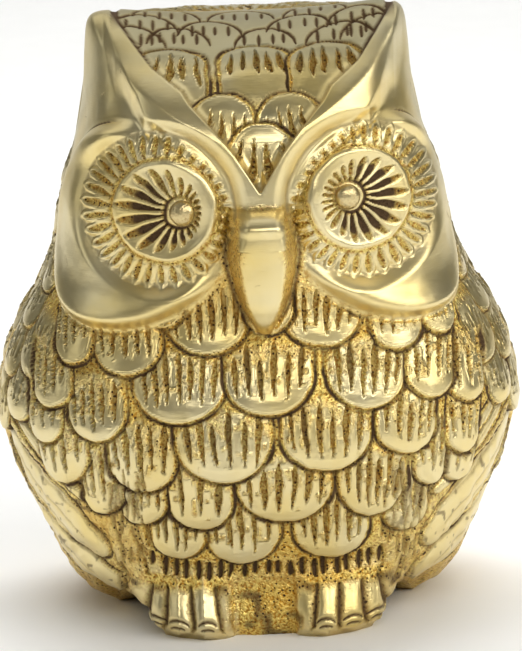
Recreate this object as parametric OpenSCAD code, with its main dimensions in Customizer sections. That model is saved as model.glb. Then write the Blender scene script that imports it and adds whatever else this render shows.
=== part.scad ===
// Brass owl figurine: a hollow body of two sand castings, front and back, soldered
// together round their sides and crown, with a turned stud riveted in each eye as its pupil.
// The owl faces -Y, +Z is up, and the origin is the middle of its footprint on the table.

/* [Body] */
// Height to the tips of the ear tufts
owl_h = 107; // [86:1:130]
// Width across the widest part of the body
body_w = 94; // [76:1:118]
// Depth of the body at its fullest, without beak and feet
body_d = 81; // [66:1:100]
// Thickness of the cast wall
wall = 3.6; // [2.8:0.2:5]

/* [Face] */
// How far the beak stands out of the face
beak_reach = 8.4; // [5:0.2:11]
// How far the brow stands out of the face
brow_rise = 2.4; // [1.5:0.1:3.5]
// Radius of the domed head of a pupil stud
pupil_r = 2.2; // [1.8:0.1:2.8]

/* [Feet] */
// How far the feet stand out of the belly
foot_reach = 6.5; // [4:0.5:8]

/* [Joint] */
// Thickness of the solder film between the two castings
film = 0.3; // [0.2:0.1:0.6]

/* [Hidden] */

// The shape is drawn 107 high, 94 wide and 81 deep, and scaled to the driving sizes.
to_size = [body_w / 94, body_d / 81, owl_h / 107];
$fn = 48;

// Height, half width, reach to the front, reach to the back, squareness of the outline
PROFILE = [
    [0, 27.5, 31, 30, 2],
    [2.5, 32, 33.5, 33.5, 2.1],
    [6, 35.3, 35.5, 36.5, 2.15],
    [12, 38.5, 37.5, 38.6, 2.2],
    [20, 42.4, 39.4, 39.8, 2.2],
    [28, 45.4, 40.8, 40.2, 2.2],
    [36, 47, 41, 40, 2.2],
    [44, 46, 39.6, 38.8, 2.2],
    [52, 42.8, 37.2, 37, 2.25],
    [60, 38, 35.6, 35, 2.35],
    [68, 35.3, 35.4, 33.6, 2.5],
    [76, 33.8, 35.6, 32.2, 2.6],
    [84, 31.2, 34.8, 30.8, 2.65],
    [92, 29.4, 32.4, 29.2, 2.8],
    [100, 28.7, 29, 27.4, 3],
    [110, 28.3, 26, 25.5, 3.2]
];
SIDE_TOP = 84;      // where the side walls turn over into the crown
CROWN = 105.4;      // height of the crown between the tufts
TUFT_LIFT = 4.2;    // how much higher the tips of the tufts are
TUFT_ANGLE = 64;    // where the tufts stand, from straight ahead
FACE_X = 1.2;       // the face sits this far to the right of the middle, as hand work does
FEET_X = -0.6;      // and the feet this far to the left

// Face discs, measured along the skin from the middle of the face: [out, up]
DISC = [25.5, 71.5];
DISC_HALF = [21, 18];
LEFT_EYE = [-16.3, 74.4];
RIGHT_EYE = [18.9, 74.8];
EYE_R = 12.7;
LEFT_PUPIL = [-12.4, 74];
RIGHT_PUPIL = [16.3, 75.6];
STUD_TURN = 14;     // a stud's axis points this far out to its own side
SHANK_R = 1.3;
SHANK_FIT = 0.05;   // clearance round a stud's shank

function between(lo, x, hi) = max(lo, min(hi, x));
function ramp(a, b, x) = let (t = between(0, (x - a) / (b - a), 1)) t * t * (3 - 2 * t);
function bell(x, w) = exp(-(x / w) * (x / w));

// Smooth curve through a column of PROFILE
function row_below(z, i = 0) =
    i >= len(PROFILE) - 2 || z < PROFILE[i + 1][0] ? i : row_below(z, i + 1);
function slope(i, c) =
    let (a = PROFILE[max(i - 1, 0)], b = PROFILE[min(i + 1, len(PROFILE) - 1)])
    (b[c] - a[c]) / (b[0] - a[0]);
function profile(z, c) =
    let (
        i = row_below(z),
        p = PROFILE[i],
        q = PROFILE[i + 1],
        d = q[0] - p[0],
        t = between(0, (z - p[0]) / d, 1)
    )
    p[c] * (1 + 2 * t) * (1 - t) * (1 - t) + q[c] * t * t * (3 - 2 * t)
    + d * (slope(i, c) * t * (1 - t) * (1 - t) - slope(i + 1, c) * t * t * (1 - t));

// Reach of the plain body from its axis, straight ahead at angle 0 and growing towards +X
function body_reach(angle, z) =
    let (
        n = profile(z, 4),
        a = profile(z, 1),
        d = abs(angle) < 90 ? profile(z, 2) : profile(z, 3)
    )
    pow(pow(abs(sin(angle)) / a, n) + pow(abs(cos(angle)) / d, n), -1 / n);

// Face. Along the skin it is drawn over the distance s from its middle, else over x as seen
// from the front.
function disc(s, z) =
    let (q = norm([(abs(s) - DISC[0]) / DISC_HALF[0], (z - DISC[1]) / DISC_HALF[1]]))
    2.7 * (1 - ramp(0.86, 1.03, q)) + 0.5 * bell(q - 0.82, 0.1);
function eye_dish(x, z, eye) = -2 * (1 - ramp(EYE_R - 1, EYE_R + 2.6, norm([x - eye[0], z - eye[1]])));
// The brow is drawn over tall, the height and then on over the crown.
function brow_top(x) = lookup(abs(x), [[0, 77.3], [2, 80.6], [4, 83.8], [6, 86.3], [11.3, 92.2],
                                       [17.6, 102.5], [21, 112], [24.6, 123], [25.2, 150]]);
function brow_foot(x) = lookup(abs(x), [[0, 74.4], [3, 74.6], [6, 77.8], [9, 82.2], [14.4, 86.6],
                                        [19.2, 89.8], [21.3, 95.5], [24, 107], [26, 124]]);
function brow(x, tall) =
    brow_rise * ramp(-2.4, 0.8, 0.7 * (tall - brow_foot(x)))
    * (1 - ramp(-0.6, 1.4, 0.7 * (tall - brow_top(x))));
function forehead(x, tall) = -0.8 * ramp(-0.2, 1.4, 0.7 * (tall - brow_top(x)));
function tuft_hollow(x, z) = -1.2 * bell(abs(x) - 24, 2.4) * ramp(86, 93, z) * (1 - ramp(98, 105, z));
function beak_half(z) = lookup(z, [[53, 0.5], [55, 1.7], [58, 3.4], [62, 4.6], [67, 5.4],
                                   [70, 5.2], [72, 4.7], [74, 4.1], [76, 3]]);
function beak(x, z) =
    let (
        u = min(1, abs(x) / (beak_half(z) + 0.5)),
        out = beak_reach * lookup(z, [[52.6, 0], [54, 0.45], [57, 0.84], [61, 1], [66, 1.04],
                                      [70, 0.92], [72.5, 0.66], [75, 0.34], [77, 0.1], [79, 0]])
    )
    out * pow(1 - u * u * u, 0.8);

// Feet and the ledge between them, and the tail between the wing tips behind
function ledge(x, z) = 5.6 * (1 - ramp(19, 27, abs(x))) * (1 - ramp(-3, 10, z));
function foot(x, z) =
    let (u = min(1, abs((abs(x) - 14.4) / 9.5)))
    foot_reach * pow(1 - pow(u, 3.4), 0.7) * pow(max(0, 1 - z / 11.8), 0.55);
function tail(x, z) = 3.4 * (1 - ramp(7, 13, abs(x))) * (1 - ramp(12, 34, z)) * ramp(-6, 5, z);

// How far the skin swells away from the axis, and how far it stands forward
function swell(angle, z) =
    abs(angle) < 90 ? disc(0.637 * angle - FACE_X, z) * (1 - 0.9 * ramp(42, 80, abs(angle)))
                    : tail(body_reach(angle, z) * sin(angle), z);
function forward(x, z, tall) =
    let (f = x - FACE_X, t = x - FEET_X)
    eye_dish(x, z, LEFT_EYE) + eye_dish(x, z, RIGHT_EYE) + brow(f, tall) + forehead(f, tall)
    + beak(f, z) + ledge(t, z) + foot(t, z) + tuft_hollow(f, z);

// The wing bottoms end a little above the table, between the feet and the flanks
function rim_lift(angle) = 3.4 * ramp(38, 44, abs(angle)) * (1 - ramp(60, 76, abs(angle)));
function lifted(angle, z) = z + rim_lift(angle) * (1 - ramp(0, 11, z));

// A point of the outer face. rise runs from 0 at the rim to 1 where the crown turns over, and
// on to 2 at the middle of the crown. The forehead leans back in an arc below the crown.
function tuft(angle) = bell(abs(angle) - TUFT_ANGLE, 19);
function crown_edge(angle) =
    abs(angle) < 90 ? 6 + 8 * tuft(angle) : 4.8 + 2.4 * sin(abs(angle));
function outer(angle, rise) =
    let (
        turn = 90 * between(0, rise - 1, 1),
        m = 2 / crown_edge(angle),
        s = rise >= 2 ? 0 : pow(cos(turn), m),
        edge = pow(sin(turn), m),
        y = s * body_reach(angle, SIDE_TOP) * cos(angle) / profile(SIDE_TOP, 2),
        arc = abs(angle) < 90 ? sqrt(max(0.0004, 1 - y * y)) : 1,
        lift = rise <= 1 ? 0 : pow(pow(edge, -6) + pow(arc, -6) - 1, -1 / 6),
        top = CROWN + TUFT_LIFT * tuft(angle) * pow(s, 2),
        level = rise <= 1 ? SIDE_TOP * rise : SIDE_TOP + (top - SIDE_TOP) * lift,
        z = lifted(angle, level),
        r = s * (body_reach(angle, level) + swell(angle, z)),
        x = r * sin(angle),
        tall = z + max(0, 28 - r * cos(angle)),
        out = abs(angle) < 90 ? s * (1 - ramp(62, 88, abs(angle))) * forward(x, z, tall) : 0
    )
    [x, -r * cos(angle) - out, z];

// The core's face, a plain shape inside
function inner(angle, rise) =
    let (
        turn = 90 * between(0, rise - 1, 1),
        m = 2 / (abs(angle) < 90 ? 2.3 + 0.9 * ramp(20, 80, abs(angle)) : 3.2),
        s = rise >= 2 ? 0 : pow(cos(turn), m),
        lift = rise <= 1 ? 0 : pow(sin(turn), m),
        z = rise <= 1 ? SIDE_TOP * rise : SIDE_TOP + (CROWN - wall - 1.4 - SIDE_TOP) * lift,
        r = s * (body_reach(angle, z) - wall - (abs(angle) < 90 ? 0.9 * cos(angle) : 0) * ramp(40, 60, z))
    )
    [r * sin(angle), -r * cos(angle), lifted(angle, z)];

// Where the grid lines of each face run: close together on the face, wide apart on the back
FRONT_ANGLES = [for (a = -90; a < -12; a = a + 2.5) a, for (a = -12.5; a < 15; a = a + 1.25) a,
                for (a = 15; a <= 90.1; a = a + 2.5) a];
BACK_ANGLES = [for (a = 90; a <= 270; a = a + 5) a > 180 ? a - 360 : a];
CORE_ANGLES = [for (a = -90; a <= 90; a = a + 7.5) a];
BACK_CORE_ANGLES = [for (a = 90; a <= 270; a = a + 7.5) a > 180 ? a - 360 : a];
OUTER_RISES = [for (z = 0; z < 14; z = z + 2) z / SIDE_TOP,
               for (z = 14; z < 50; z = z + 3) z / SIDE_TOP,
               for (z = 50; z <= 84.1; z = z + 1.7) z / SIDE_TOP,
               for (k = 1; k < 15; k = k + 1) 1 + k / 15];
BACK_RISES = [for (z = 0; z <= 84.1; z = z + 3.5) z / SIDE_TOP,
              for (k = 1; k < 12; k = k + 1) 1 + k / 12];
CORE_RISES = [for (z = 0; z <= 84.1; z = z + 6) z / SIDE_TOP, for (k = 1; k < 8; k = k + 1) 1 + k / 8];

// Triangles between two rows of points, the first running from p0 and the second from q0
function strip(p0, pn, ps, q0, qn, qs, i = 0, j = 0) =
    i >= pn - 1 && j >= qn - 1 ? [] :
    j >= qn - 1 || (i < pn - 1 && (i + 1) / (pn - 1) <= (j + 1) / (qn - 1))
        ? concat([[p0 + i * ps, p0 + (i + 1) * ps, q0 + j * qs]], strip(p0, pn, ps, q0, qn, qs, i + 1, j))
        : concat([[p0 + i * ps, q0 + (j + 1) * qs, q0 + j * qs]], strip(p0, pn, ps, q0, qn, qs, i, j + 1));
function flipped(faces) = [for (f = faces) [f[2], f[1], f[0]]];

// Half a shell: a grid of outer points with one crown point, the same for the core, and flat
// faces between them round the rim and along the parting
module half_shell(angles, rises, core_angles, core_rises) {
    n = len(angles);
    m = len(rises);
    cn = len(core_angles);
    cm = len(core_rises);
    outer_points = [for (r = rises) for (a = angles) outer(a, r)];
    core_points = [for (r = core_rises) for (a = core_angles) inner(a, r)];
    crown = n * m;
    core0 = crown + 1;
    core_crown = core0 + cn * cm;
    function o(i, j) = j * n + i;
    function c(i, j) = core0 + j * cn + i;
    points = concat(outer_points, [outer(angles[0], 2)], core_points, [inner(core_angles[0], 2)]);
    skin = [for (j = [0 : m - 2]) for (i = [0 : n - 2]) each
        [[o(i, j), o(i, j + 1), o(i + 1, j + 1)], [o(i, j), o(i + 1, j + 1), o(i + 1, j)]]];
    skin_top = [for (i = [0 : n - 2]) [o(i, m - 1), crown, o(i + 1, m - 1)]];
    core = [for (j = [0 : cm - 2]) for (i = [0 : cn - 2]) each
        [[c(i, j), c(i + 1, j + 1), c(i, j + 1)], [c(i, j), c(i + 1, j), c(i + 1, j + 1)]]];
    core_top = [for (i = [0 : cn - 2]) [c(i, cm - 1), c(i + 1, cm - 1), core_crown]];
    rim = strip(0, n, 1, core0, cn, 1);
    side_a = strip(0, m, n, core0, cm, cn);
    side_b = strip(n - 1, m, n, core0 + cn - 1, cm, cn);
    top_a = [[o(0, m - 1), c(0, cm - 1), crown], [crown, c(0, cm - 1), core_crown]];
    top_b = [[o(n - 1, m - 1), crown, c(cn - 1, cm - 1)], [crown, core_crown, c(cn - 1, cm - 1)]];
    polyhedron(
        points,
        concat(skin, skin_top, core, core_top, rim, flipped(side_a), side_b, top_a, top_b),
        convexity = 8
    );
}

// The origin lies midway between the beak's or feet's foremost point and the back's
REACH_FRONT = min([for (r = OUTER_RISES) for (a = FRONT_ANGLES) outer(a, r)[1]]) - film / 2;
REACH_BACK = max([for (r = BACK_RISES) for (a = BACK_ANGLES) outer(a, r)[1]]) + film / 2;
module placed() {
    scale(to_size) translate([0, -(REACH_FRONT + REACH_BACK) / 2, 0]) children();
}

// A stud lies along its own axis, with 0 at the floor of the eye
function stud_place(p) =
    let (a = asin(p[0] / body_reach(asin(p[0] / 36), p[1])), q = outer(a, p[1] / SIDE_TOP))
    [p[0], q[1] - film / 2, p[1]];
module along_stud(p) {
    translate(stud_place(p)) rotate([90, 0, sign(p[0]) * STUD_TURN]) children();
}

module front_casting() {
    color("goldenrod") placed() difference() {
        translate([0, -film / 2, 0]) half_shell(FRONT_ANGLES, OUTER_RISES, CORE_ANGLES, CORE_RISES);
        for (p = [LEFT_PUPIL, RIGHT_PUPIL])
            along_stud(p) cylinder(r = SHANK_R + SHANK_FIT, h = 16, center = true);
    }
}

module back_casting() {
    color("darkgoldenrod") placed() translate([0, film / 2, 0])
        half_shell(BACK_ANGLES, BACK_RISES, BACK_CORE_ANGLES, CORE_RISES);
}

// Solder drawn into the joint, standing a little proud of the core's face inside
module seam_solder() {
    function flat(p) = [p[0], p[2]];
    edge = concat(
        [for (r = OUTER_RISES) flat(outer(90, r))], [flat(outer(90, 2))],
        [for (j = [len(OUTER_RISES) - 1 : -1 : 0]) flat(outer(-90, OUTER_RISES[j]))]
    );
    hollow = concat(
        [for (r = CORE_RISES) flat(inner(90, r))], [flat(inner(90, 2))],
        [for (j = [len(CORE_RISES) - 1 : -1 : 0]) flat(inner(-90, CORE_RISES[j]))]
    );
    color("silver") placed() rotate([90, 0, 0]) linear_extrude(film, center = true) difference() {
        polygon(edge);
        polygon([for (p = hollow) [p[0] * 0.965, p[1] <= 0 ? -1 : p[1] - 1.2]]);
    }
}

// Turned brass stud: domed head outside, shank through the wall, peened over inside
module pupil_stud(p) {
    color("gold") placed() along_stud(p) {
        translate([0, 0, -wall]) cylinder(r = SHANK_R, h = wall + 0.4);
        translate([0, 0, -0.5]) intersection() {
            sphere(r = pupil_r + 0.2);
            translate([0, 0, 0.6]) cylinder(r = pupil_r, h = 4);
        }
    }
}
module left_pupil() { pupil_stud(LEFT_PUPIL); }
module right_pupil() { pupil_stud(RIGHT_PUPIL); }

front_casting();
back_casting();
seam_solder();
left_pupil();
right_pupil();
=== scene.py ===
import math
import bpy
import numpy as np
from mathutils import Matrix, Vector


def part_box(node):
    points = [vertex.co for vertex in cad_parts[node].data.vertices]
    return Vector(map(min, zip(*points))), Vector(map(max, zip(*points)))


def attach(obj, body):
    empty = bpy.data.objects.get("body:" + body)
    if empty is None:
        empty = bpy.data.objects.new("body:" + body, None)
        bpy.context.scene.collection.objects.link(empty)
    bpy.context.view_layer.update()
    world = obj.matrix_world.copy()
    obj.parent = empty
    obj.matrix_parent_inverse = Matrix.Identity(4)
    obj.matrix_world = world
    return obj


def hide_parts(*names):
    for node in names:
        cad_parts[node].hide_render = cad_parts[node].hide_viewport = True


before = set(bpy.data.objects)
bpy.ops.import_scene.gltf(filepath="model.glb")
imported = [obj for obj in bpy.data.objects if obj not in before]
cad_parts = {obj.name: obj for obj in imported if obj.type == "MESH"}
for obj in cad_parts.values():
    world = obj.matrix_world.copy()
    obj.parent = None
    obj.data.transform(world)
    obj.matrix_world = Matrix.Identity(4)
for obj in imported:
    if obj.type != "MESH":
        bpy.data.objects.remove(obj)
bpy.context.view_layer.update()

# Camera: a long lens about 0.6 m in front of the owl and a little above it, held a touch off
# level as a hand holds it. It looks at the middle of the breast.
seam_low, seam_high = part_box("seam_solder")
parting = (seam_low[1] + seam_high[1]) / 2      # the two castings meet in this plane
stand = Vector((-0.0051, parting - 0.583, 0.146))
look = (Vector((0.0009, parting, 0.0483)) - stand).normalized()
level = look.cross(Vector((0, 0, 1))).normalized()
upright = level.cross(look)
tilt = math.radians(2.1)
side = level * math.cos(tilt) - upright * math.sin(tilt)
top = level * math.sin(tilt) + upright * math.cos(tilt)
lens = bpy.data.cameras.new("camera")
lens.sensor_fit = "HORIZONTAL"
lens.sensor_width = 36
lens.lens = 225
camera = bpy.data.objects.new("camera", lens)
bpy.context.collection.objects.link(camera)
camera.matrix_world = Matrix.Translation(stand) @ Matrix((side, top, -look)).transposed().to_4x4()
bpy.context.scene.camera = camera


# Front casting: face, breast, wings and feet of the owl, sand cast in brass with its feathers
# chased in by hand, then polished so that the high places are bright and the punched ground
# stays matt. Drawn in millimetres with the parting plane at y = 0, as the casting was designed.
FORM = np.array([  # height, half width, reach to the front, to the back, squareness
    [0, 27.5, 31, 30, 2], [2.5, 32, 33.5, 33.5, 2.1], [6, 35.3, 35.5, 36.5, 2.15],
    [12, 38.5, 37.5, 38.6, 2.2], [20, 42.4, 39.4, 39.8, 2.2], [28, 45.4, 40.8, 40.2, 2.2],
    [36, 47, 41, 40, 2.2], [44, 46, 39.6, 38.8, 2.2], [52, 42.8, 37.2, 37, 2.25],
    [60, 38, 35.6, 35, 2.35], [68, 35.3, 35.4, 33.6, 2.5], [76, 33.8, 35.6, 32.2, 2.6],
    [84, 31.2, 34.8, 30.8, 2.65], [92, 29.4, 32.4, 29.2, 2.8], [100, 28.7, 29, 27.4, 3],
    [110, 28.3, 26, 25.5, 3.2]])
WALL = 3.6           # thickness of the brass
SIDE_TOP = 84        # here the sides turn over into the crown
CROWN = 105.4        # top of the head between the tufts


def ramp(start, end, x):
    t = np.clip((x - start) / (end - start), 0, 1)
    return t * t * (3 - 2 * t)


def bell(x, width):
    return np.exp(-(x / width) ** 2)


def through(x, at, value, slope):
    """The smooth curve that passes each place at its value and slope."""
    i = np.clip(np.searchsorted(at, x, side="right") - 1, 0, len(at) - 2)
    d = at[i + 1] - at[i]
    t = np.clip((x - at[i]) / d, 0, 1)
    return (value[i] * (1 + 2 * t) * (1 - t) ** 2 + value[i + 1] * t * t * (3 - 2 * t)
            + d * (slope[i] * t * (1 - t) ** 2 - slope[i + 1] * t * t * (1 - t)))


def smooth(x, stops):
    """A smooth curve through stops, pairs of place and value."""
    at, value = np.array(stops, float).T
    return through(x, at, value, np.gradient(value, at))


def form(z, column):
    """One measure of the body at height z, from its column in FORM."""
    at, value = FORM[:, 0], FORM[:, column]
    rise = np.append(value[1:], value[-1]) - np.append(value[0], value[:-1])
    return through(z, at, value, rise / (np.append(at[1:], at[-1]) - np.append(at[0], at[:-1])))


def reach(turn, z):
    """How far the plain body stands from its axis, straight ahead at turn 0."""
    n = form(z, 4)
    depth = np.where(np.abs(turn) <= 90, form(z, 2), form(z, 3))
    a = np.radians(turn)
    return ((np.abs(np.sin(a)) / form(z, 1)) ** n + (np.abs(np.cos(a)) / depth) ** n) ** (-1 / n)


FACE_X = 1.2         # the face sits to the right of the middle, as hand work does
FEET_X = -0.6        # and the feet to the left
# Middles of the eye rings and of the pupils, across and up
EYES = ((-16.3, 74.4), (18.9, 74.8))
PUPILS = ((-12.4, 74.0), (16.3, 75.6))
EYE_R = 12.7
# Upper and lower line of the brow: distance from the middle of the face, and height
BROW_TOP = ((0, 2, 4, 6, 11.3, 17.6, 21, 24.6, 25.2), (77.3, 80.6, 83.8, 86.3, 92.2, 102.5, 112, 123, 150))
BROW_FOOT = ((0, 3, 5, 6.5, 9, 14.4, 19.2, 21.3, 24, 26),
             (70.5, 71.5, 75.4, 78.6, 82.2, 86.6, 89.8, 95.5, 107, 124))
AROUND = 0.637       # millimetres round the face for a degree of turn
FOOT = 14.4          # from the middle between the feet to the middle of one
PETALS, RAYS = 33, 21    # cuts in the outer ring of an eye, and in its dish


def rim_lift(turn):
    """The wing bottoms end a little above the table, between the feet and the flanks."""
    return 3.4 * ramp(38, 44, np.abs(turn)) * (1 - ramp(60, 76, np.abs(turn)))


def beak_half(z):
    return 0.5 + smooth(z, [(53, 0.5), (55, 1.7), (58, 3.4), (62, 4.6), (67, 5.4), (70, 5.2),
                            (72, 5.0), (74, 4.9), (76, 4.4)])


def facet_half(z):
    """Half the width of the flat down the front of the beak."""
    return smooth(z, [(53, 0.3), (55, 1), (57.5, 1.9), (61.6, 2.8), (68.4, 3.5), (73, 3.3), (76, 3)])


def disc_place(turn, z):
    """1 on the rim of the face disc, less inside it."""
    s = AROUND * turn - FACE_X
    return np.hypot((np.abs(s) - 25.5) / 21, (z - 71.5) / 18)


def above(line, f, tall):
    """Distance above a line of the brow, in millimetres square to it."""
    at, value = line
    middles = np.add(at[1:], at[:-1]) / 2
    slope = np.interp(f, middles, np.diff(value) / np.diff(at))
    return (tall - np.interp(f, at, value)) / np.sqrt(1 + slope ** 2)


def face(x, z, tall):
    """How far the face and the feet stand forward of the plain body."""
    f = np.abs(x - FACE_X)
    below_top = above(BROW_TOP, f, tall)
    above_foot = above(BROW_FOOT, f, tall)
    brow = 2.6 * ramp(-1.7, 0.6, above_foot) * (1 - ramp(-0.25, 0.7, below_top))
    half = beak_half(z)
    facet = facet_half(z)
    bridge = 8.4 * smooth(z, [(52.6, 0), (54, 0.45), (57, 0.84), (61, 1), (66, 1.06), (70, 1.07),
                              (72.4, 1.02), (73.6, 0.78), (74.6, 0.34), (75.2, 0.04), (76, 0), (79, 0)])
    u = np.clip((f - facet) / (half - facet), 0, 1)
    crowned = 0.4 * np.clip(f / facet, 0, 1) ** 2 * (1 - u) * ramp(0.8, 3, bridge)
    beak = bridge * (1 - u ** 1.5) ** 0.85 - crowned
    out = np.maximum(brow, beak) - 0.8 * ramp(-0.2, 1.2, below_top)
    for eye in EYES:
        out = out - 2.3 * (1 - ramp(EYE_R - 0.4, EYE_R + 3, np.hypot(x - eye[0], z - eye[1])))
    out = out - 1.2 * bell(f - 24, 2.4) * ramp(86, 93, z) * (1 - ramp(98, 105, z))
    t = np.abs(x - FEET_X)
    out = out + 5.6 * (1 - ramp(19, 27, t)) * (1 - ramp(-3, 10, z))
    u = np.clip(np.abs((t - FOOT) / 9.5), 0, 1)
    return out + 6.4 * (1 - u ** 3) ** 0.7 * np.clip(1 - z / 11.8, 0, 1) ** 0.6 * ramp(-3.2, 1.6, z)


def skin(turn, climb, plain=False):
    """The outer face of the owl. climb is a height up the side over SIDE_TOP, and runs on from
    1 to 2 over the crown, evenly by angle. Gives x, y and z."""
    ahead = np.abs(turn) <= 90
    tuft = bell(np.abs(turn) - 64, 19)
    edge = np.where(ahead, 6 + 8 * tuft, 4.8 + 2.4 * np.sin(np.radians(np.abs(turn))))
    over = np.radians(90 * np.clip(climb - 1, 0, 1))
    size = (np.cos(over) ** edge + np.sin(over) ** edge) ** (1 / edge)
    s = np.cos(over) / size
    rise = np.maximum(np.sin(over) / size, 1e-5)
    lean = s * reach(turn, np.full_like(turn, SIDE_TOP)) * np.cos(np.radians(turn)) / 34.8
    arc = np.where(ahead, np.sqrt(np.maximum(0.0004, 1 - lean ** 2)), 1)
    lift = np.where(climb <= 1, 0, (rise ** -6 + arc ** -6 - 1) ** (-1 / 6))
    z = np.where(climb <= 1, SIDE_TOP * climb, SIDE_TOP + (CROWN + 4.2 * tuft * s * s - SIDE_TOP) * lift)
    r = reach(turn, z)
    z = z + rim_lift(turn) * (1 - ramp(0, 11, z))
    if not plain:
        q = disc_place(turn, z)
        aside = np.abs(r * np.sin(np.radians(turn)))
        tail = 3.4 * (1 - ramp(7, 13, aside)) * (1 - ramp(12, 34, z)) * ramp(-6, 5, z)
        swell = 2.7 * (1 - ramp(0.86, 1.03, q)) + 0.5 * bell(q - 0.82, 0.1)
        swell = swell * (1 - 0.9 * ramp(42, 80, np.abs(turn)))
        r = r + np.where(ahead, swell, tail)
    x = s * r * np.sin(np.radians(turn))
    y = -s * r * np.cos(np.radians(turn))
    if plain:
        return x, y, z
    tall = z + np.clip(y + 28, 0, None)
    out = s * (1 - ramp(62, 88, np.abs(turn))) * face(x, z, tall)
    return x, y - np.where(ahead, out, 0), z


def core(turn, climb):
    """The face that the sand core left inside, plainer than the outside."""
    ahead = np.abs(turn) <= 90
    m = 2 / np.where(ahead, 2.3 + 0.9 * ramp(20, 80, np.abs(turn)), 3.2)
    over = np.radians(90 * np.clip(climb - 1, 0, 1))
    s = np.clip(np.cos(over), 0, 1) ** m
    z = np.where(climb <= 1, SIDE_TOP * climb, SIDE_TOP + (CROWN - WALL - 1.4 - SIDE_TOP) * np.sin(over) ** m)
    a = np.radians(turn)
    r = s * (reach(turn, z) - WALL - np.where(ahead, 0.9 * np.cos(a), 0) * ramp(40, 60, z))
    z = z + rim_lift(turn) * (1 - ramp(0, 11, z))
    return r * np.sin(a), -r * np.cos(a), z


def steps(*runs):
    """Places from each run's start to its end, one run after another, at the run's own step."""
    places = [np.arange(a, b - step / 2, step) for a, b, step in runs]
    return np.append(np.concatenate(places), runs[-1][1])


def patches(across, along, cell, seed):
    """Soft random patches from -1 to 1, about one cell across."""
    dots = np.random.default_rng(seed).uniform(-1, 1, (97, 89))
    u, v = across / cell + 400, along / cell + 400
    i, j = np.floor(u).astype(int), np.floor(v).astype(int)
    a, b = ramp(0, 1, u - i), ramp(0, 1, v - j)
    i, j, i2, j2 = i % 97, j % 89, (i + 1) % 97, (j + 1) % 89
    return ((dots[i, j] * (1 - a) + dots[i2, j] * a) * (1 - b)
            + (dots[i, j2] * (1 - a) + dots[i2, j2] * a) * b)


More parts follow.
